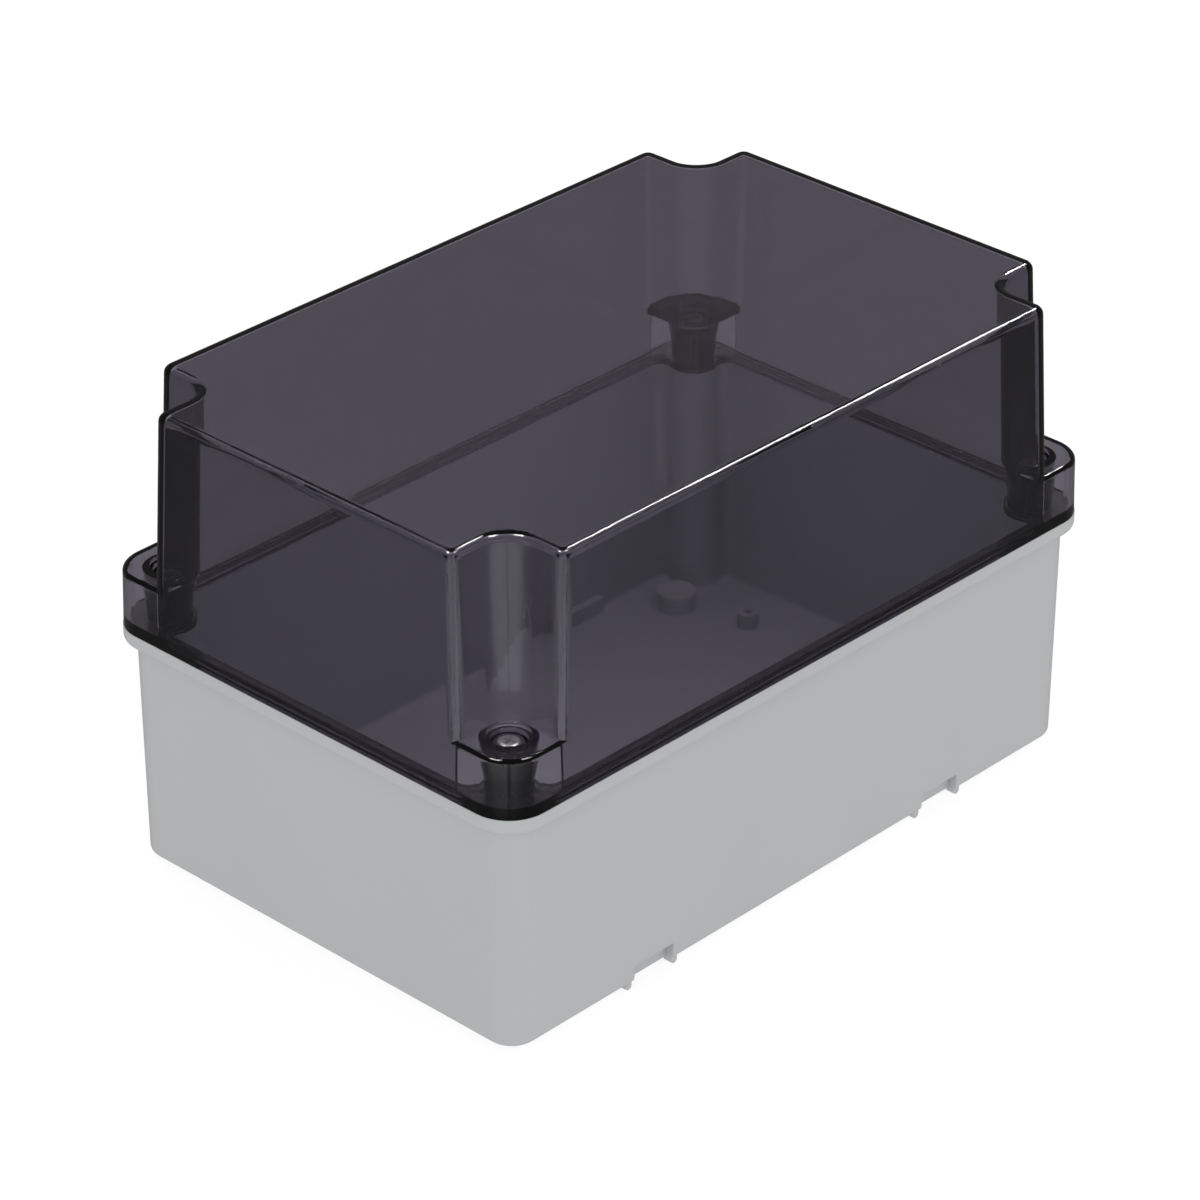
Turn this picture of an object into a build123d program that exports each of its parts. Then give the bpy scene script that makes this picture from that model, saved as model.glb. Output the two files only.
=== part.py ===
from build123d import *
import math
import os

# A wall-mounted junction box: a moulded grey base with a flanged rim, and a deep see-through
# cover held by four captive screws that sit in stepped wells at the foot of the corner recesses.
# Millimetres. Origin at the middle of the footprint, on the standing pads' level.
# +X runs along the long side, +Y to the back, +Z up.

# Overall
rim_length = 300.0
rim_width = 197.0
rim_corner_r = 15.5
standoff = 2.5
base_height = 93.5
cover_height = 90.5

# Base
base_wall = 3.0
floor_thick = 3.0
flange_overhang = 4.6
flange_thick = 6.0
flange_round = 2.2
base_draft = 0.8
bottom_round = 2.5
column_r = 9.5
column_blend = 4.0
screw_edge = 17.0

# Seal between base and cover
groove_land = 1.6
groove_width = 3.0
groove_depth = 3.5
gasket_height = 2.0
tongue_play = 0.4
tongue_length = groove_depth - gasket_height

# Standing pads and wall fixing
fixing_from_end = 40.0
fixing_from_side = 28.5
fixing_hole_r = 2.6
pad_r = 8.0
collar_r = 7.5
collar_bore_r = 5.5
collar_height = 6.0
cap_rim = 1.6
cap_plug_length = 3.0
cap_play = 0.02

# Pillars for a mounting plate
pillar_from_end = 32.0
pillar_from_side = 58.5
pillar_r = 4.0
pillar_bore_r = 1.5
pillar_height = 6.0

# Bracket pockets and their nubs, on both long sides
pocket_from_end = 74.5
pocket_width = 19.4
pocket_height = 7.0
pocket_depth = 3.6
pocket_wall = 2.4
nub_gap = 0.2
nub_width = 3.0
nub_length = 3.6
nub_inset = 1.2

# Cover
cover_wall = 3.2
cover_top = 2.8
cover_set_in = 0.2
cover_draft = 2.7
top_round = 3.4
inner_top_round = 0.8
rim_plate = 3.0
plate_round = 0.8
ledge_rise = 22.5
ledge_thick = 2.5
ledge_round = 2.0
ledge_lap = 0.5
ear_wall = 2.2
recess_draft = 3.1
recess_corner_gain = 3.0
recess_shoulder_r = 4.2
inner_shoulder_r = 1.2
ear_past_recess = 1.4

# Screw wells and bosses in the cover
well_depth = 7.1
well_play = 0.7
well_step_width = 1.2
well_step_height = 1.6
well_rim = 0.4
well_edge_round = 0.3
boss_wall = 3.0
boss_flare = 1.8
boss_flare_height = 14.0
seat_web = 2.5
shank_gap = 0.3
boss_bore_gap = 0.6

# Screw, washer, seal and insert
head_r = 4.0
head_height = 2.8
head_round = 1.0
cross_arm = 2.3
cross_slot = 0.9
cross_depth = 1.7
cross_taper = 0.55
washer_r = 4.5
washer_thick = 0.8
seal_r = 4.2
seal_thick = 1.0
ring_play = 0.1
shank_r = 1.6
thread_r = 2.0
thread_above = 1.5
thread_play = 0.05
screw_tip = 0.5
insert_r = 2.8
insert_length = 8.0
insert_play = 0.02
insert_groove = 0.4
column_bore_r = 2.4
column_bore_below = 4.0

# Levels worked out from the sizes above
floor_low = standoff
floor_top = floor_low + floor_thick
joint_z = standoff + base_height
cover_top_z = joint_z + cover_height
ledge_z = joint_z + ledge_rise
seat_z = ledge_z - well_depth
washer_z = seat_z + seal_thick
head_z = washer_z + washer_thick
tip_z = joint_z - insert_length - screw_tip
cavity_inset = flange_overhang + base_wall
collar_top = floor_top + collar_height
pillar_top = floor_top + pillar_height

half_length = rim_length / 2
half_width = rim_width / 2
fixing_x = half_length - fixing_from_end
fixing_y = half_width - fixing_from_side
pillar_x = half_length - pillar_from_end
pillar_y = half_width - pillar_from_side
pocket_x = half_length - pocket_from_end
base_foot_y = half_width - flange_overhang - base_draft
screw_x = half_length - screw_edge
screw_y = half_width - screw_edge
well_r = washer_r + well_play
well_mouth_r = well_r + 2 * well_step_width
boss_r = well_r + boss_wall
recess_corner_low = well_mouth_r + well_rim
recess_corner_high = recess_corner_low + recess_corner_gain
recess_low = screw_edge + recess_corner_low
recess_high = recess_low + recess_draft
ear_reach = recess_low + ear_past_recess
nub_offset = pocket_width / 2 + nub_gap + nub_width / 2
corners = {
    "front_left": (-1, -1),
    "front_right": (1, -1),
    "back_right": (1, 1),
    "back_left": (-1, 1),
}
STANDING = (Align.CENTER, Align.CENTER, Align.MIN)


def rounded_plate(inset, z):
    """The rim's rounded rectangle, drawn in by the inset, as a face at height z."""
    outline = RectangleRounded(rim_length - 2 * inset, rim_width - 2 * inset, rim_corner_r - inset)
    return Pos(0, 0, z) * outline


def frustum(inset_low, z_low, inset_high, z_high):
    """A drafted block between two rounded rectangles of the rim's outline."""
    return loft([rounded_plate(inset_low, z_low), rounded_plate(inset_high, z_high)], ruled=True)


def arc_between(center, radius, start_deg, turn_deg):
    """An arc about a centre, from a start angle through a signed turn."""
    if turn_deg > 0:
        return CenterArc(center, radius, start_deg, turn_deg)
    return CenterArc(center, radius, start_deg + turn_deg, -turn_deg)


def place_in_corner(edges, sx, sy):
    """Edges drawn in the +X +Y corner, mirrored into the corner of the given signs."""
    if sx < 0:
        edges = [mirror(edge, about=Plane.YZ) for edge in edges]
    if sy < 0:
        edges = [mirror(edge, about=Plane.XZ) for edge in edges]
    return edges


def closed_outline(corner_edges, x_end, y_line, x_line, y_end, z):
    """A face whose four corners mirror one drawn corner, joined by the four straight sides.

    The drawn corner runs from (x_end, y_line) on the long side to (x_line, y_end) on the short side."""
    edges = []
    for sx, sy in corners.values():
        edges += place_in_corner(corner_edges, sx, sy)
    for side in (-1, 1):
        edges.append(Line((-x_end, side * y_line), (x_end, side * y_line)))
        edges.append(Line((side * x_line, -y_end), (side * x_line, y_end)))
    return Pos(0, 0, z) * make_face(edges)


def cavity_outline(grow, z):
    """The base's inner outline at height z, grown outward by a distance.

    Each corner bulges in round its screw column: a column arc, with a blend arc on each side that
    touches the wall and the column. Growing keeps the arcs' centres and changes their radii."""
    wall_x = half_length - cavity_inset + grow
    wall_y = half_width - cavity_inset + grow
    bulge_r = column_r - grow
    blend_r = column_blend + grow
    reach = bulge_r + blend_r
    blend_dy = wall_y - blend_r - screw_y
    blend_dx = wall_x - blend_r - screw_x
    long_center = (screw_x - math.sqrt(reach**2 - blend_dy**2), screw_y + blend_dy)
    short_center = (screw_x + blend_dx, screw_y - math.sqrt(reach**2 - blend_dx**2))
    long_angle = math.degrees(math.atan2(long_center[1] - screw_y, long_center[0] - screw_x))
    short_angle = math.degrees(math.atan2(short_center[1] - screw_y, short_center[0] - screw_x))
    if long_angle < 0:
        long_angle += 360
    if short_angle < 0:
        short_angle += 360
    corner_edges = [
        arc_between(long_center, blend_r, 90, long_angle - 180 - 90),
        arc_between((screw_x, screw_y), bulge_r, long_angle, short_angle - long_angle),
        arc_between(short_center, blend_r, short_angle - 180, 180 - short_angle),
    ]
    return closed_outline(corner_edges, long_center[0], wall_y, wall_x, short_center[1], z)


def part_way(low, high, z):
    """A size that changes evenly from the ledge to the top of the cover."""
    return low + (high - low) * (z - ledge_z) / (cover_top_z - ledge_z)


def cover_inset(z):
    """How far the cover's outside stands in from the rim at height z."""
    return cover_set_in + cover_draft * (z - joint_z) / cover_height


def recessed_outline(wall, z):
    """The cover's outline above the ledges at height z, drawn in by a wall thickness.

    Each corner is notched square, with a round inner corner and round shoulders."""
    side_x = half_length - cover_inset(z) - wall
    side_y = half_width - cover_inset(z) - wall
    notch = part_way(recess_low, recess_high, z) + wall
    flank_x = half_length - notch
    flank_y = half_width - notch
    inner_r = part_way(recess_corner_low, recess_corner_high, z) + wall
    shoulder_r = max(recess_shoulder_r - wall, inner_shoulder_r)
    corner_edges = [
        arc_between((flank_x - shoulder_r, side_y - shoulder_r), shoulder_r, 90, -90),
        Line((flank_x, side_y - shoulder_r), (flank_x, flank_y + inner_r)),
        arc_between((flank_x + inner_r, flank_y + inner_r), inner_r, 180, 90),
        Line((flank_x + inner_r, flank_y), (side_x - shoulder_r, flank_y)),
        arc_between((side_x - shoulder_r, flank_y - shoulder_r), shoulder_r, 90, -90),
    ]
    return closed_outline(corner_edges, flank_x - shoulder_r, side_y, side_x, flank_y - shoulder_r, z)


def recessed_block(wall, z_low, z_high):
    """The drafted block above the ledges between two heights."""
    return loft([recessed_outline(wall, z_low), recessed_outline(wall, z_high)], ruled=True)


def post(radius, z_low, z_high):
    """An upright cylinder on the Z axis between two heights."""
    return Pos(0, 0, z_low) * extrude(Circle(radius), z_high - z_low)


def at_screws(solid):
    """Four copies of a solid drawn on the Z axis, one at each screw."""
    return [Pos(sx * screw_x, sy * screw_y, 0) * solid for sx, sy in corners.values()]


def at_fixings(solid):
    """Four copies of a solid drawn on the Z axis, one at each wall-fixing hole."""
    return [Pos(sx * fixing_x, sy * fixing_y, 0) * solid for sx, sy in corners.values()]


def at_pillars(solid):
    """Four copies of a solid drawn on the Z axis, one at each mounting-plate pillar."""
    return [Pos(sx * pillar_x, sy * pillar_y, 0) * solid for sx, sy in corners.values()]


def base_shell():
    """The base's walls and flange, hollowed down to the floor."""
    walls = frustum(flange_overhang + base_draft, floor_low, flange_overhang, joint_z)
    walls = fillet(walls.faces().sort_by(Axis.Z)[0].edges(), bottom_round)
    flange = extrude(rounded_plate(0, joint_z - flange_thick), flange_thick)
    flange = fillet(flange.faces().sort_by(Axis.Z)[0].edges(), flange_round)
    inner = loft([cavity_outline(-base_draft, floor_top), cavity_outline(0, joint_z)], ruled=True)
    inner = fillet(inner.faces().sort_by(Axis.Z)[0].edges(), base_wall / 2)
    return walls + flange - inner


def nub(x, side):
    """A half-round nub that hangs from the floor's edge down to the standing level."""
    nub_r = nub_width / 2
    tall = standoff + floor_thick / 2 - nub_r
    profile = Pos(0, nub_r) * Circle(nub_r)
    profile += Pos(0, nub_r + tall / 2) * Rectangle(nub_width, tall)
    length_y = side * (base_foot_y - nub_inset - nub_length / 2)
    return Pos(x, length_y, 0) * extrude(Plane.XZ * profile, nub_length / 2, both=True)


def pocket_block(x, side):
    """The wall round the back of a bracket pocket, inside the box."""
    deep = pocket_depth + pocket_wall - base_wall / 2
    tall = pocket_height + pocket_wall - floor_thick / 2
    block = Box(pocket_width + 2 * pocket_wall, deep, tall, align=STANDING)
    middle_y = base_foot_y - base_wall / 2 - deep / 2
    return Pos(x, side * middle_y, floor_low + floor_thick / 2) * block


def pocket_cut(x, side):
    """The room of a bracket pocket, open to the side and below."""
    return Pos(x, side * base_foot_y, floor_low) * Box(pocket_width, 2 * pocket_depth, 2 * pocket_height)


def base_box():
    """The base with everything moulded on it."""
    body = base_shell()
    pad = post(pad_r, 0, floor_top)
    collar = post(collar_r, floor_low, collar_top)
    body += at_fixings(pad) + at_fixings(collar)
    places = [(x, side) for x in (-pocket_x, pocket_x) for side in (-1, 1)]
    body += [pocket_block(x, side) for x, side in places]
    body -= [pocket_cut(x, side) for x, side in places]
    body += [nub(x + step * nub_offset, side) for x, side in places for step in (-1, 1)]
    body += at_pillars(post(pillar_r, floor_low, pillar_top))
    body -= at_pillars(post(pillar_bore_r, floor_top, pillar_top))
    body -= at_fixings(post(collar_bore_r, floor_top, collar_top))
    body -= at_fixings(post(fixing_hole_r, 0, floor_top))
    groove = ring_between(groove_land, groove_land + groove_width, joint_z - groove_depth, joint_z)
    insert_seat = post(insert_r + insert_play, joint_z - insert_length, joint_z)
    tip_room = post(column_bore_r, joint_z - insert_length - column_bore_below, joint_z)
    return body - groove - at_screws(insert_seat) - at_screws(tip_room)


def ring_between(grow_in, grow_out, z_low, z_high):
    """An endless ring round the cavity, between two distances out from its outline."""
    outer = extrude(cavity_outline(grow_out, z_low), z_high - z_low)
    return outer - extrude(cavity_outline(grow_in, z_low), z_high - z_low)


def cover_gasket():
    """The endless sealing ring in the base's groove, at its pressed height."""
    low = joint_z - groove_depth
    return ring_between(groove_land, groove_land + groove_width, low, low + gasket_height)


def cover_outside():
    """The cover without its hollow: the recessed block on a lower block that makes the ledges."""
    upper = recessed_block(0, ledge_z - ledge_round - ledge_lap, cover_top_z)
    upper = fillet(upper.faces().sort_by(Axis.Z)[-1].edges(), top_round)
    lower = frustum(cover_inset(joint_z), joint_z, cover_inset(ledge_z), ledge_z)
    lower = fillet(lower.faces().sort_by(Axis.Z)[-1].edges(), ledge_round)
    return upper + lower


def cover_hollow():
    """The room inside the cover, above its rim plate."""
    low_z = joint_z + rim_plate
    ear_z = ledge_z - ledge_thick
    upper = recessed_block(cover_wall, ear_z, cover_top_z - cover_top)
    upper = fillet(upper.faces().sort_by(Axis.Z)[-1].edges(), inner_top_round)
    lower = frustum(cover_inset(low_z) + cover_wall, low_z, cover_inset(ear_z) + cover_wall, ear_z)
    lower = fillet(lower.faces().sort_by(Axis.Z)[0].edges(), plate_round)
    ears = frustum(cover_inset(low_z) + ear_wall, low_z, cover_inset(ear_z) + ear_wall, ear_z)
    ears = fillet(ears.faces().sort_by(Axis.Z)[0].edges(), plate_round)
    reach = Box(2 * ear_reach, 2 * ear_reach, ear_z - low_z, align=STANDING)
    reaches = [Pos(sx * half_length, sy * half_width, low_z) * reach for sx, sy in corners.values()]
    return upper, lower, [ears & near for near in reaches]


def screw_well():
    """The stepped well over a screw, with its clearance hole and the wide bore below the seat.

    It is turned from half a profile, with a small round on the edge of each step."""
    hole_r = shank_r + shank_gap
    bore_r = thread_r + boss_bore_gap
    web_z = seat_z - seat_web
    foot = [(0, joint_z), (bore_r, joint_z), (bore_r, web_z), (hole_r, web_z), (hole_r, seat_z)]
    foot.append((well_r, seat_z))
    outline = [Line(a, b) for a, b in zip(foot, foot[1:])]
    low_z = seat_z
    for step in (0, 1, 2):
        radius = well_r + step * well_step_width
        high_z = ledge_z - (2 - step) * well_step_height
        round_r = radius + well_edge_round
        next_r = 0 if step == 2 else radius + well_step_width
        outline.append(Line((radius, low_z), (radius, high_z - well_edge_round)))
        outline.append(CenterArc((round_r, high_z - well_edge_round), well_edge_round, 90, 90))
        outline.append(Line((round_r, high_z), (next_r, high_z)))
        low_z = high_z
    outline.append(Line((0, ledge_z), (0, joint_z)))
    return revolve(Plane.XZ * make_face(outline), Axis.Z)


def screw_boss():
    """The hollow boss between the rim plate and the ledge, flared under the ledge."""
    flare_z = ledge_z - ledge_thick - boss_flare_height
    flare = Pos(0, 0, flare_z) * Cone(boss_r, boss_r + boss_flare, boss_flare_height, align=STANDING)
    return post(boss_r, joint_z, ledge_z - ledge_thick) + flare


def cover():
    """The see-through cover."""
    body = cover_outside()
    upper, lower, ears = cover_hollow()
    body = body - upper - lower - ears
    body -= extrude(cavity_outline(0, joint_z), rim_plate)
    body += at_screws(screw_boss())
    tongue_in = groove_land + tongue_play
    tongue_out = groove_land + groove_width - tongue_play
    body += ring_between(tongue_in, tongue_out, joint_z - tongue_length, joint_z)
    return body - at_screws(screw_well())


def cross_recess():
    """The cross-shaped driver recess in a screw's head, narrowing downward."""
    top_z = head_z + head_height
    arm = Rectangle(2 * cross_arm, cross_slot) + Rectangle(cross_slot, 2 * cross_arm)
    tip = scale(arm, by=cross_taper)
    return loft([Pos(0, 0, top_z - cross_depth) * tip.face(), Pos(0, 0, top_z) * arm.face()], ruled=True)


def cover_screw():
    """A captive pan-head screw: thin shank through the seat, thread at its end."""
    head = post(head_r, head_z, head_z + head_height)
    head = fillet(head.faces().sort_by(Axis.Z)[-1].edges(), head_round)
    shank = post(shank_r, joint_z, head_z)
    thread = post(thread_r, tip_z, joint_z + thread_above)
    thread = chamfer(thread.faces().sort_by(Axis.Z)[0].edges(), thread_r / 4)
    return head + shank + thread - cross_recess()


def screw_washer():
    """The flat metal washer under a screw's head."""
    return post(washer_r, washer_z, head_z) - post(shank_r + ring_play, washer_z, head_z)


def screw_seal():
    """The rubber ring between the washer and the well's seat."""
    return post(seal_r, seat_z, washer_z) - post(shank_r + ring_play, seat_z, washer_z)


def threaded_insert():
    """A brass insert, level with the rim, with two holding grooves round it."""
    low_z = joint_z - insert_length
    body = post(insert_r, low_z, joint_z)
    for share in (1 / 3, 2 / 3):
        z = low_z + share * insert_length
        groove = post(insert_r, z - insert_groove, z + insert_groove)
        body -= groove - post(insert_r - insert_groove, z - insert_groove, z + insert_groove)
    return body - post(thread_r + thread_play, low_z, joint_z)


def fixing_cap():
    """The push-in cap over a wall-fixing screw: a domed rim with a hollow plug."""
    rim = post(collar_r, collar_top, collar_top + cap_rim)
    rim = fillet(rim.faces().sort_by(Axis.Z)[-1].edges(), cap_rim / 2)
    plug = post(collar_bore_r - cap_play, collar_top - cap_plug_length, collar_top)
    hollow = post(collar_bore_r - cap_rim, collar_top - cap_plug_length, collar_top)
    return rim + plug - hollow


def all_parts():
    """Every piece of the box, by the name of its node."""
    parts = {"base_box": base_box(), "cover_gasket": cover_gasket(), "cover": cover()}
    at_each_corner = {
        "cover_screw": at_screws(cover_screw()),
        "screw_washer": at_screws(screw_washer()),
        "screw_seal": at_screws(screw_seal()),
        "threaded_insert": at_screws(threaded_insert()),
        "fixing_cap": at_fixings(fixing_cap()),
    }
    for name, copies in at_each_corner.items():
        for corner, piece in zip(corners, copies):
            parts[f"{name}_{corner}"] = piece
    return parts


os.makedirs("parts", exist_ok=True)
for node, piece in all_parts().items():
    export_step(piece, f"parts/{node}.step")
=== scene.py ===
# %% [markdown]
# # A junction box with a deep smoked cover
#
# A wall box for electrical joints: a grey moulded base, and a tall see-through cover held by four
# screws that sit in wells at its corners. The solids are already exact, so this lesson is mostly
# about two plastics and the light on them. One is opaque and satin, the other is clear, tinted and
# glossy, and shows little more than what it mirrors and what it lets through.

import math

import bmesh
import bpy
import numpy as np
from mathutils import Matrix, Vector


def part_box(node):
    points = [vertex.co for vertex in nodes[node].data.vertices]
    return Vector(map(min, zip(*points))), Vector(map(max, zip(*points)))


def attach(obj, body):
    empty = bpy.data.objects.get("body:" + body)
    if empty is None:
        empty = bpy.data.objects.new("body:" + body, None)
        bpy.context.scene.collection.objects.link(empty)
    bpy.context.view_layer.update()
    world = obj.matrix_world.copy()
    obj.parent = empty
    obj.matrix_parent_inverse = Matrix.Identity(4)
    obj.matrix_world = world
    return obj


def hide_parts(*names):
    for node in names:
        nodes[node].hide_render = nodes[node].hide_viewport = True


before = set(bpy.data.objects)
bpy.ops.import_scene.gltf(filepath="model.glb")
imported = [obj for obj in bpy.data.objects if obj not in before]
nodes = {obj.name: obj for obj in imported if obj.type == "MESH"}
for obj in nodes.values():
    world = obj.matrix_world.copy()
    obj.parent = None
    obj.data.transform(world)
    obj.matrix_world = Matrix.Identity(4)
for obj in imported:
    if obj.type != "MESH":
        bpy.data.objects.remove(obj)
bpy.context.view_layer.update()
corners = ("front_left", "front_right", "back_right", "back_left")

# %% [markdown]
# ## Where the box is seen from
#
# The box is photographed from its near corner, a little above. A long lens keeps the sides almost
# parallel, as a catalogue picture does. The camera could be aimed with a constraint, but a plain
# rotation worked out from two angles keeps the upright edges exactly upright.

# %% Camera
view_turn = math.radians(-46.46)
view_rise = math.radians(29.84)
view_distance = 1.7715
view_aim = Vector((0.0225, 0.0255, 0.0615))
lens_mm = 146.26
sensor_mm = 36

level_share = math.cos(view_rise)
right = Vector((math.cos(view_turn), math.sin(view_turn), 0))
back = Vector((math.sin(view_turn) * level_share, -math.cos(view_turn) * level_share, math.sin(view_rise)))
camera_data = bpy.data.cameras.new("camera")
camera_data.lens = lens_mm
camera_data.sensor_width = sensor_mm
camera = bpy.data.objects.new("camera", camera_data)
turn = Matrix((right, back.cross(right), back)).transposed()
camera.matrix_world = Matrix.Translation(view_aim + view_distance * back) @ turn.to_4x4()
bpy.context.scene.collection.objects.link(camera)
bpy.context.scene.camera = camera
bpy.context.scene.view_settings.view_transform = "Standard"
print("camera at", [round(v, 3) for v in camera.location])

# %% [markdown]
# ## Building materials from nodes
#
# Each finish is a small tree of nodes. These helpers add a node, wire it, and make a grain from
# noise on the object's own coordinates, so that a pattern is tied to the plastic and not to the view.

# %% A material, a node, a number and a vector operation


def new_material(name):
    """An empty node material with its output node."""
    material = bpy.data.materials.new(name)
    material.use_nodes = True
    tree = material.node_tree
    tree.nodes.clear()
    return material, tree, tree.nodes.new("ShaderNodeOutputMaterial")


def add_node(tree, kind, inputs=None, **settings):
    """A node with its settings; an input is a number or colour, or a socket that feeds it."""
    node = tree.nodes.new(kind)
    for key, value in settings.items():
        setattr(node, key, value)
    for key, value in (inputs or {}).items():
        if isinstance(value, bpy.types.NodeSocket):
            tree.links.new(value, node.inputs[key])
        else:
            node.inputs[key].default_value = value
    return node


def number(tree, operation, one, other=0.0):
    """One number operation's result."""
    return add_node(tree, "ShaderNodeMath", {0: one, 1: other}, operation=operation).outputs["Value"]


def vector_value(tree, operation, one, other=(0, 0, 0), output="Value"):
    """One vector operation's result."""
    node = add_node(tree, "ShaderNodeVectorMath", {0: one, 1: other}, operation=operation)
    return node.outputs[output]


print("helpers: new_material, add_node, number, vector_value")

# %% Grain, tones and relief
noise_roughness = 0.55
# A mix node has sockets for each kind of value; these are the places of those for colours.
mix_first_colour, mix_second_colour, mix_colour_result = 6, 7, 2


def grain(tree, size, detail=3.0, stretch=(1, 1, 1)):
    """Noise whose features are about the given size in metres, from 0 to 1."""
    place = add_node(tree, "ShaderNodeTexCoord").outputs["Object"]
    spread = add_node(tree, "ShaderNodeMapping", {"Vector": place, "Scale": stretch}).outputs["Vector"]
    noise = {"Vector": spread, "Scale": 1 / size, "Detail": detail, "Roughness": noise_roughness}
    return add_node(tree, "ShaderNodeTexNoise", noise).outputs["Fac"]


def between(tree, factor, low, high):
    """A number that follows a factor from low to high."""
    inputs = {"Value": factor, "To Min": low, "To Max": high}
    return add_node(tree, "ShaderNodeMapRange", inputs).outputs["Result"]


def step_up(tree, value, low, high):
    """A smooth rise from 0 to 1 while the value passes from low to high."""
    inputs = {"Value": value, "From Min": low, "From Max": high}
    node = add_node(tree, "ShaderNodeMapRange", inputs, interpolation_type="SMOOTHSTEP")
    return node.outputs["Result"]


def two_tones(tree, factor, one, other):
    """A colour that follows a factor from one colour to the other."""
    node = add_node(tree, "ShaderNodeMix", {"Factor": factor}, data_type="RGBA")
    node.inputs[mix_first_colour].default_value = (*one, 1)
    node.inputs[mix_second_colour].default_value = (*other, 1)
    return node.outputs[mix_colour_result]


def relief(tree, height, depth, strength=1.0, under=None):
    """A bump of a given depth in metres, over another bump if there is one."""
    inputs = {"Height": height, "Distance": depth, "Strength": strength}
    if under is not None:
        inputs["Normal"] = under
    return add_node(tree, "ShaderNodeBump", inputs).outputs["Normal"]


def principled(name, inputs):
    """A material of one principled shader; the inputs are made by a function that gets the tree."""
    material, tree, output = new_material(name)
    shader = add_node(tree, "ShaderNodeBsdfPrincipled", inputs(tree))
    tree.links.new(shader.outputs["BSDF"], output.inputs["Surface"])
    print("made", name)
    return material


print("grain roughness:", noise_roughness)

# %% [markdown]
# ## The grey base plastic
#
# The base is moulded in a light grey plastic from a tool with a fine eroded finish. It looks flat
# and even from afar, with a soft sheen. A plain colour would look like paint on card, so three
# things are added: a faint drift in tone from the flow of the melt, a matt grain finer than half a
# millimetre, and a sheen that changes slightly from place to place.

# %% Base plastic
base_tone = (0.462, 0.474, 0.482)
base_tone_deep = (0.440, 0.452, 0.460)
cap_tone = (0.50, 0.51, 0.51)
cap_tone_deep = (0.47, 0.48, 0.48)
base_dull, cap_dull = 0.5, 0.42
base_grain_depth, cap_grain_depth = 0.00003, 0.00001
plastic_ior = 1.5
drift_size = 0.05
drift_stretch = (1, 1, 0.45)
orange_peel_size = 0.006
orange_peel_strength = 0.25
eroded_size = 0.0005
eroded_strength = 0.35
sheen_size = 0.02
sheen_swing = 0.06


def moulded_plastic(name, tone, deep_tone, dull, depth):
    """Opaque satin plastic: tone drift, eroded grain over orange peel, and uneven sheen."""

    def inputs(tree):
        drift = grain(tree, drift_size, detail=4.0, stretch=drift_stretch)
        orange_peel = grain(tree, orange_peel_size, detail=1.0)
        eroded = grain(tree, eroded_size, detail=2.0)
        bump = relief(tree, orange_peel, depth, orange_peel_strength)
        return {
            "Base Color": two_tones(tree, drift, deep_tone, tone),
            "Roughness": between(tree, grain(tree, sheen_size), dull - sheen_swing, dull + sheen_swing),
            "IOR": plastic_ior,
            "Normal": relief(tree, eroded, depth, eroded_strength, bump),
        }

    return principled(name, inputs)


base_plastic = moulded_plastic("base plastic", base_tone, base_tone_deep, base_dull, base_grain_depth)
cap_plastic = moulded_plastic("cap plastic", cap_tone, cap_tone_deep, cap_dull, cap_grain_depth)

# %% [markdown]
# ## The smoked cover
#
# The cover is clear polycarbonate with a grey-violet tint through its whole thickness. A tint on
# the surface would make thick and thin walls look the same. Here the surface is colourless and
# polished, and the inside soaks up light by the millimetre, so that edges, bosses and walls seen
# slantwise go darker by themselves. A white background seen through two walls keeps about a
# thirteenth of its light, which sets the density. The polished skin has long, very shallow waves
# from shrinkage, and faint rub marks that break up what it mirrors.

# %% Smoked plastic
tint = (0.045, 0.0, 0.095, 1)
tint_per_metre = 405.0
wave_size = 0.035
wave_depth = 0.00004
wave_strength = 0.2
rub_size = 0.012
rub_stretch = (1, 1, 0.3)
rub_roughness = 0.035


def smoked_inputs(tree):
    """Colourless polished skin with shallow waves and rub marks."""
    waves = grain(tree, wave_size, detail=1.0)
    rubbed = grain(tree, rub_size, detail=5.0, stretch=rub_stretch)
    return {
        "Base Color": (1, 1, 1, 1),
        "Roughness": between(tree, rubbed, 0.0, rub_roughness),
        "IOR": plastic_ior,
        "Transmission Weight": 1.0,
        "Normal": relief(tree, waves, wave_depth, wave_strength),
    }


cover_plastic = principled("smoked plastic", smoked_inputs)
cover_tree = cover_plastic.node_tree
soak = add_node(cover_tree, "ShaderNodeVolumeAbsorption", {"Color": tint, "Density": tint_per_metre})
cover_output = next(n for n in cover_tree.nodes if n.type == "OUTPUT_MATERIAL")
cover_tree.links.new(soak.outputs["Volume"], cover_output.inputs["Volume"])
print("tint in", cover_plastic.name, "per metre:", tint_per_metre)

# %% [markdown]
# ## Metals and rubbers
#
# The screws and washers are plated steel, the inserts turned brass, and the seals black rubber.
# Plating is bright but never perfectly even, brass dulls in spots, and rubber has a dusty skin.

# %% Metals and rubbers
mark_depth = 0.00001
mark_strength = 0.3
dust_size = 0.008
pore_strength = 0.6
rubber_dull = (0.7, 0.9)


def plain_metal(name, tone, spots_tone, sheen_low, sheen_high, spot_size):
    """Bare or plated metal with uneven sheen and fine marks."""

    def inputs(tree):
        spots = grain(tree, spot_size, detail=5.0)
        marks = grain(tree, spot_size / 4, detail=2.0)
        return {
            "Base Color": two_tones(tree, spots, spots_tone, tone),
            "Metallic": 1.0,
            "Roughness": between(tree, spots, sheen_high, sheen_low),
            "Normal": relief(tree, marks, mark_depth, mark_strength),
        }

    return principled(name, inputs)


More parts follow.
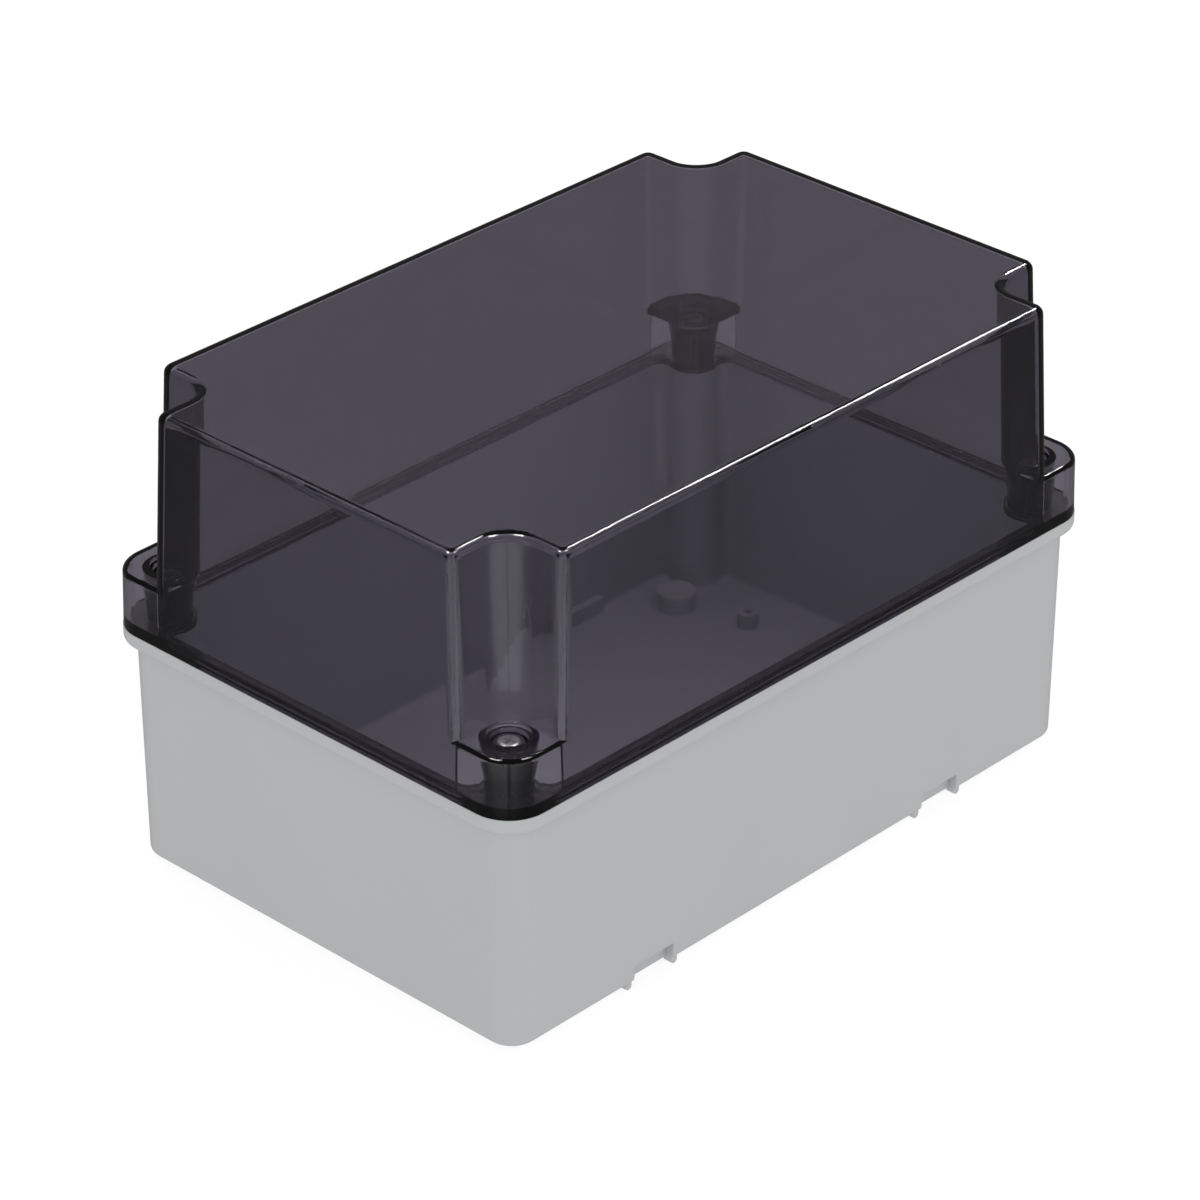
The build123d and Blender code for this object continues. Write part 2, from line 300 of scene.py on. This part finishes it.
def rubber(name, tone, dusty_tone, pore_size, pore_depth):
    """Soft dull rubber or foam with pores and a dusty skin."""

    def inputs(tree):
        pores = grain(tree, pore_size)
        dust = grain(tree, dust_size, detail=4.0)
        return {
            "Base Color": two_tones(tree, dust, tone, dusty_tone),
            "Roughness": between(tree, pores, *rubber_dull),
            "Normal": relief(tree, pores, pore_depth, pore_strength),
        }

    return principled(name, inputs)


# Name, tone, tone in the spots, sheen from and to, and size of the spots in metres.
screw_metal = plain_metal("plated steel", (0.62, 0.62, 0.60), (0.50, 0.50, 0.48), 0.22, 0.40, 0.002)
washer_metal = plain_metal("washer steel", (0.58, 0.58, 0.57), (0.48, 0.48, 0.47), 0.30, 0.45, 0.0015)
brass = plain_metal("brass", (0.74, 0.56, 0.27), (0.60, 0.43, 0.19), 0.25, 0.45, 0.002)
# Name, tone, tone of the dust, and size and depth of the pores in metres.
seal_rubber = rubber("seal rubber", (0.018, 0.018, 0.019), (0.035, 0.035, 0.036), 0.0004, 0.00003)
gasket_foam = rubber("gasket foam", (0.060, 0.060, 0.062), (0.085, 0.085, 0.087), 0.0006, 0.00006)

# %% Hand out the finishes
finish_of = {
    "base_box": base_plastic,
    "cover": cover_plastic,
    "cover_gasket": gasket_foam,
    "fixing_cap": cap_plastic,
    "cover_screw": screw_metal,
    "screw_washer": washer_metal,
    "screw_seal": seal_rubber,
    "threaded_insert": brass,
}
for name, node in nodes.items():
    kind = name
    for corner in corners:
        kind = kind.removesuffix("_" + corner)
    node.data.materials.clear()
    node.data.materials.append(finish_of[kind])
print("finishes on", len(nodes), "pieces")

# %% [markdown]
# ## A film of air under the cover
#
# The cover rests on the base face to face. Real plastics never touch all over: a film of air stays
# between them, and it is this film that mirrors light back up and keeps the joint bright. Two
# faces in exactly one plane would also flicker. So a copy of the cover has its resting faces
# raised by a fiftieth of a millimetre. An object transform would lift the whole cover off, so
# the points themselves are moved, only those at the joint and on the tongue below it.

# %% Raise the faces the cover rests on
air_film = 0.00002
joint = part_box("base_box")[1].z


def raised_underside(node, film):
    """A copy of a piece whose points at or below the joint are moved up by the film's height."""
    mesh = node.data.copy()
    places = np.empty(3 * len(mesh.vertices))
    mesh.vertices.foreach_get("co", places)
    places = places.reshape(-1, 3)
    resting = places[:, 2] < joint + film / 4
    places[resting, 2] += film
    mesh.vertices.foreach_set("co", places.ravel())
    piece = bpy.data.objects.new(node.name + "_on_air", mesh)
    bpy.context.scene.collection.objects.link(piece)
    print("raised", int(resting.sum()), "of", len(places), "points of", node.name)
    return piece


cover_on_air = raised_underside(nodes["cover"], air_film)
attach(cover_on_air, "cover")
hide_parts("cover")

# %% [markdown]
# ## Screws with a real thread
#
# Each screw of the solids has a plain cylinder where the thread is, which is right for the motion but
# shows as soon as the cover is lifted. A thread could be faked with a bump, but its outline would
# stay smooth. Here the grid itself is wound: its rows follow the helix, four to a turn, one for
# each edge of the flat crest and the flat root. The end of one turn is sewn to the next.

# %% Sizes of a screw, in metres, and how far each one is turned, in degrees
thread_pitch = 0.0007
thread_crest_r = 0.002
shank_r = 0.0016
tip_r = 0.0015
crest_share = 0.125
thread_runout = 0.6
thread_above_joint = 0.0015
thread_top = joint + thread_above_joint
steps_around = 64
head_rounding = 0.001
rounding_steps = 7
recess_arm = 0.0023
recess_half_slot = 0.00045
recess_depth = 0.0017
recess_taper = 0.55
screw_turns = (12, -25, 38, -8)

# %% Directions round the screw


def screw_angles():
    """Even steps round the screw, and the directions of the cross recess's corners among them."""
    even = np.arange(steps_around) * 2 * math.pi / steps_around
    tip_corner = math.atan2(recess_half_slot, recess_arm)
    quarters = np.arange(4) * math.pi / 2
    angles = np.concatenate([even, quarters + tip_corner, quarters - tip_corner + math.pi / 2])
    return np.unique(np.round(angles, 9))


angles = screw_angles()
columns = len(angles)
print("directions:", columns)

# %% The wound thread


def wound_thread(z_low, z_high):
    """A grid wound round the axis: a point's height grows by one pitch with its row's share of a
    turn plus its angle's, held between the two ends. Its radius is the crest's or the root's by
    row, and never more than two cones that start at the ends."""
    turns = math.ceil((z_high - z_low) / thread_pitch) + 2
    edges = np.array([0, 0.5 - crest_share, 0.5, 1 - crest_share])
    share = (np.arange(turns)[:, None] + edges).ravel()[:, None]
    wanted = np.tile([thread_crest_r, shank_r, shank_r, thread_crest_r], turns)[:, None]
    z = np.clip(z_low + thread_pitch * (share - 1 + angles / (2 * math.pi)), z_low, z_high)
    radius = np.minimum(wanted, tip_r + z - z_low)
    radius = np.minimum(radius, shank_r + thread_runout * (z_high - z))
    return radius, z, len(edges)


print("depth of thread in mm:", round((thread_crest_r - shank_r) * 1000, 2))

# %% The head and its cross recess
tiny = 1e-9


def cross_outline():
    """The radius at which a ray from the axis leaves a cross of two equal bars."""
    along, across = np.abs(np.cos(angles)) + tiny, np.abs(np.sin(angles)) + tiny
    flat_bar = np.minimum(recess_arm / along, recess_half_slot / across)
    upright_bar = np.minimum(recess_half_slot / along, recess_arm / across)
    return np.maximum(flat_bar, upright_bar)


def head_rings(z_from, z_under, z_top, head_r):
    """Rings from the thread's end up the shank, out under the head, round its edge, in to the
    cross recess and down its leaning walls."""
    bend = np.linspace(0, math.pi / 2, rounding_steps)
    round_r = head_r - head_rounding * (1 - np.cos(bend))
    round_z = z_top - head_rounding * (1 - np.sin(bend))
    radius = np.concatenate([[shank_r, shank_r, head_r], round_r])
    z = np.concatenate([[z_from, z_under, z_under], round_z, [z_top, z_top - recess_depth]])
    outline = cross_outline()
    radius = np.vstack([np.repeat(radius[:, None], columns, 1), outline, outline * recess_taper])
    return radius, np.repeat(z[:, None], columns, 1)


print("cross recess, corner to corner in mm:", round(2 * cross_outline().max() * 1000, 2))

# %% From grids to one closed mesh
merge_distance = 1e-7
crisp_angle = math.radians(35)


def grid_faces(rows, first, rows_per_turn=0):
    """Quads of a grid closed round its axis; a wound grid is sewn one turn further up at its end."""
    row, column = np.meshgrid(np.arange(rows - 1), np.arange(columns), indexing="ij")
    sewn = (column < columns - 1) | (row < rows - 1 - rows_per_turn)
    row, column = row[sewn], column[sewn]
    following = (column + 1) % columns
    climb = np.where(column == columns - 1, rows_per_turn, 0)
    around = [(row, column), (row + climb, following), (row + climb + 1, following), (row + 1, column)]
    return first + np.stack([r * columns + c for r, c in around], axis=1)


def merged(mesh):
    """The same mesh with points that share a place made one, and faces without area removed."""
    work = bmesh.new()
    work.from_mesh(mesh)
    bmesh.ops.remove_doubles(work, verts=work.verts, dist=merge_distance)
    bmesh.ops.dissolve_degenerate(work, edges=work.edges, dist=merge_distance)
    work.to_mesh(mesh)
    open_edges = sum(not edge.is_manifold for edge in work.edges)
    volume = round(work.calc_volume(signed=True) * 1e9, 1)
    work.free()
    mesh.shade_smooth()
    mesh.set_sharp_from_angle(angle=crisp_angle)
    print(mesh.name, len(mesh.polygons), "faces, open edges:", open_edges, "mm3:", volume)
    return mesh


def screw_mesh(name, box, under_head, turned):
    """One closed screw: tip, wound thread, shank and head, in that order up the axis."""
    low, high = box
    middle = (low + high) / 2
    thread_r, thread_z, per_turn = wound_thread(low.z, thread_top)
    head_r, head_z = head_rings(thread_top, under_head, high.z, (high.x - low.x) / 2)
    radius = np.concatenate([thread_r.ravel(), head_r.ravel(), [0, 0]])
    z = np.concatenate([thread_z.ravel(), head_z.ravel(), [low.z, high.z - recess_depth]])
    angle = np.concatenate([np.tile(angles, len(thread_r) + len(head_r)), [0, 0]]) + turned
    x, y = middle.x + radius * np.cos(angle), middle.y + radius * np.sin(angle)
    tip, recess_floor = len(z) - 2, len(z) - 1
    last_ring = tip - columns
    once = np.arange(columns)
    onward = (once + 1) % columns
    tip_fan = np.stack([np.full(columns, tip), onward, once], axis=1)
    floor_fan = np.stack([np.full(columns, recess_floor), last_ring + once, last_ring + onward], axis=1)
    quads = np.vstack([grid_faces(len(thread_r), 0, per_turn), grid_faces(len(head_r), thread_r.size)])
    mesh = bpy.data.meshes.new(name)
    faces = quads.tolist() + tip_fan.tolist() + floor_fan.tolist()
    mesh.from_pydata(np.stack([x, y, z], axis=1).tolist(), [], faces)
    return merged(mesh)


print("edges stay crisp above", round(math.degrees(crisp_angle)), "degrees")

# %% Four threaded screws
for corner, turned in zip(corners, screw_turns):
    under_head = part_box("screw_washer_" + corner)[1].z
    screw_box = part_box("cover_screw_" + corner)
    mesh = screw_mesh("threaded_screw_" + corner, screw_box, under_head, math.radians(turned))
    mesh.materials.append(screw_metal)
    piece = bpy.data.objects.new(mesh.name, mesh)
    bpy.context.scene.collection.objects.link(piece)
    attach(piece, "screw_" + corner)
    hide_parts("cover_screw_" + corner)
print("threaded screws:", len(screw_turns))

# %% [markdown]
# ## Floor and surroundings
#
# The picture has a pure white background. The floor gives the camera a white that is its own
# colour, and keeps a share of real light, so the box still has a soft shadow to stand on. What
# a glossy cover mirrors is a matter of its own: in a studio, dark cards stand left and right of the
# box and a pale sheet lies before its near corner, so the flat walls stay dark and clear, while
# the rounded corner picks up pale upright stripes.

# %% Who is looking at the floor


def ray_kinds(tree):
    """Two switches: seen by the camera or through clear plastic, and mirrored. A ray that passes
    through glossy plastic counts as glossy too, so such rays are taken out of the second."""
    path = add_node(tree, "ShaderNodeLightPath").outputs
    through = path["Is Transmission Ray"]
    seen = number(tree, "MAXIMUM", path["Is Camera Ray"], through)
    mirrored = number(tree, "MULTIPLY", path["Is Glossy Ray"], number(tree, "SUBTRACT", 1.0, through))
    return seen, mirrored


print("helper: ray_kinds")

# %% What the cover mirrors: dark cards and a pale sheet with a gap
card_tone = 0.15
sheet_tone = 1.1
sheet_near = (0.33, 0.42)
sheet_spread = (0.55, 0.95)
sheet_gap = (0.008, 0.022)
sheet_gap_offset = -0.03
sheet_direction = Vector((back.x, back.y, 0)).normalized()


def mirrored_tone(tree):
    """How bright the floor is to a glossy surface: dark cards, and a pale sheet before the near
    corner. The sheet is where the heading is near the camera's, beyond a distance, beside a gap."""
    place = add_node(tree, "ShaderNodeTexCoord").outputs["Object"]
    heading = vector_value(tree, "NORMALIZE", place, output="Vector")
    facing = step_up(tree, vector_value(tree, "DOT_PRODUCT", heading, sheet_direction), *sheet_spread)
    across = vector_value(tree, "DOT_PRODUCT", place, (-sheet_direction.y, sheet_direction.x, 0))
    beyond = step_up(tree, vector_value(tree, "LENGTH", place), *sheet_near)
    from_gap = number(tree, "ABSOLUTE", number(tree, "SUBTRACT", across, sheet_gap_offset))
    beside = step_up(tree, from_gap, *sheet_gap)
    pale = number(tree, "MULTIPLY", facing, number(tree, "MULTIPLY", beyond, beside))
    return between(tree, pale, card_tone, sheet_tone)


print("mirrored tones:", card_tone, "and", sheet_tone)

# %% The floor
floor_half = 4.0
white_glow = 0.80
white_albedo = 0.3
bounce_glow = 0.80
bounce_albedo = 0.45


def lit_surface(tree, albedo, glow):
    """A matt surface that also shines by itself."""
    matt = add_node(tree, "ShaderNodeBsdfDiffuse", {"Color": (albedo, albedo, albedo, 1)})
    shine = add_node(tree, "ShaderNodeEmission", {"Color": (1, 1, 1, 1), "Strength": glow})
    return add_node(tree, "ShaderNodeAddShader", {0: matt.outputs[0], 1: shine.outputs[0]}).outputs[0]


def floor_material():
    """White to the camera with the box's shadow; cards and a sheet to what is mirrored."""
    material, tree, output = new_material("studio floor")
    seen, mirrored = ray_kinds(tree)
    image = add_node(tree, "ShaderNodeEmission", {"Color": (1, 1, 1, 1), "Strength": mirrored_tone(tree)})
    white = lit_surface(tree, white_albedo, white_glow)
    bounce = lit_surface(tree, bounce_albedo, bounce_glow)
    plain = add_node(tree, "ShaderNodeMixShader", {0: seen, 1: bounce, 2: white})
    surface = add_node(tree, "ShaderNodeMixShader", {0: mirrored, 1: plain.outputs[0], 2: image.outputs[0]})
    tree.links.new(surface.outputs[0], output.inputs["Surface"])
    return material


floor_corners = [(x * floor_half, y * floor_half, 0) for x, y in ((-1, -1), (1, -1), (1, 1), (-1, 1))]
floor_mesh = bpy.data.meshes.new("floor")
floor_mesh.from_pydata(floor_corners, [], [(0, 1, 2, 3)])
floor_mesh.materials.append(floor_material())
floor = bpy.data.objects.new("floor", floor_mesh)
bpy.context.scene.collection.objects.link(floor)
print("floor side:", 2 * floor_half)

# %% [markdown]
# ## World and lamps
#
# An even world lights the box from all round at a plain level. It is white to the camera and dark
# to what the cover mirrors. Light that goes in through the smoked cover is mostly lost in it, as a
# photographer finds too, who then turns the lamps above a dark lid up: so the sky that only the
# inside sees is brighter, most of all overhead. Three softboxes are there for their mirror
# images alone: one draws the white line along the cover's top edge on the right, and two small
# ones put glints on the ledge, the well and the screw at the near corner. Two wide weak lamps even
# out the sides, and are not mirrored.

# %% World
world_level = 0.72
world_mirrored = 0.12
world_white = 1.0
world_through = 3.2
overhead_through = 6.0
overhead_from = (0.45, 0.90)
world = bpy.data.worlds.new("studio")
bpy.context.scene.world = world
world.use_nodes = True
tree = world.node_tree
tree.nodes.clear()
world_output = tree.nodes.new("ShaderNodeOutputWorld")
path = add_node(tree, "ShaderNodeLightPath").outputs
direction = add_node(tree, "ShaderNodeTexCoord").outputs["Generated"]
upward = vector_value(tree, "DOT_PRODUCT", direction, (0, 0, 1))
through = between(tree, step_up(tree, upward, *overhead_from), world_through, overhead_through)
level_of = {"Is Glossy Ray": world_mirrored, "Is Transmission Ray": through, "Is Camera Ray": world_white}
level = world_level
for ray, new_level in level_of.items():
    inputs = {"Factor": path[ray], "A": level, "B": new_level}
    level = add_node(tree, "ShaderNodeMix", inputs, data_type="FLOAT").outputs[0]
sky = add_node(tree, "ShaderNodeBackground", {"Color": (1, 1, 1, 1), "Strength": level})
tree.links.new(sky.outputs[0], world_output.inputs["Surface"])
print("world level:", world_level)

# %% Lamps
lamp_aim = Vector((0, 0, 0.1))


def softbox(name, direction, distance, width, height, level):
    """A soft rectangular lamp that faces the box; its level is the brightness of its face."""
    data = bpy.data.lights.new(name, "AREA")
    data.shape = "RECTANGLE"
    data.size = width
    data.size_y = height
    data.energy = level * math.pi * width * height
    lamp = bpy.data.objects.new(name, data)
    toward = Vector(direction).normalized()
    facing = toward.to_track_quat("Z", "Y").to_matrix().to_4x4()
    lamp.matrix_world = Matrix.Translation(lamp_aim + distance * toward) @ facing
    bpy.context.scene.collection.objects.link(lamp)
    return lamp


# Direction from the box, distance, width and height in metres, and level.
mirrored_only = {
    "edge softbox": ((0.629, -0.02, 0.777), 1.5, 0.30, 0.60, 24.0),
    "right glint box": ((0.08, -0.50, 0.88), 1.5, 0.50, 0.40, 20.0),
    "left glint box": ((-0.49, 0.04, 0.88), 1.5, 0.50, 0.40, 20.0),
}
never_mirrored = {
    "left fill": ((-0.9, -0.35, 0.5), 1.8, 1.2, 1.0, 0.8),
    "right fill": ((0.45, -0.8, 0.5), 1.8, 1.2, 1.0, 0.9),
}
for name, placing in mirrored_only.items():
    softbox(name, *placing).visible_diffuse = False
for name, placing in never_mirrored.items():
    softbox(name, *placing).visible_glossy = False
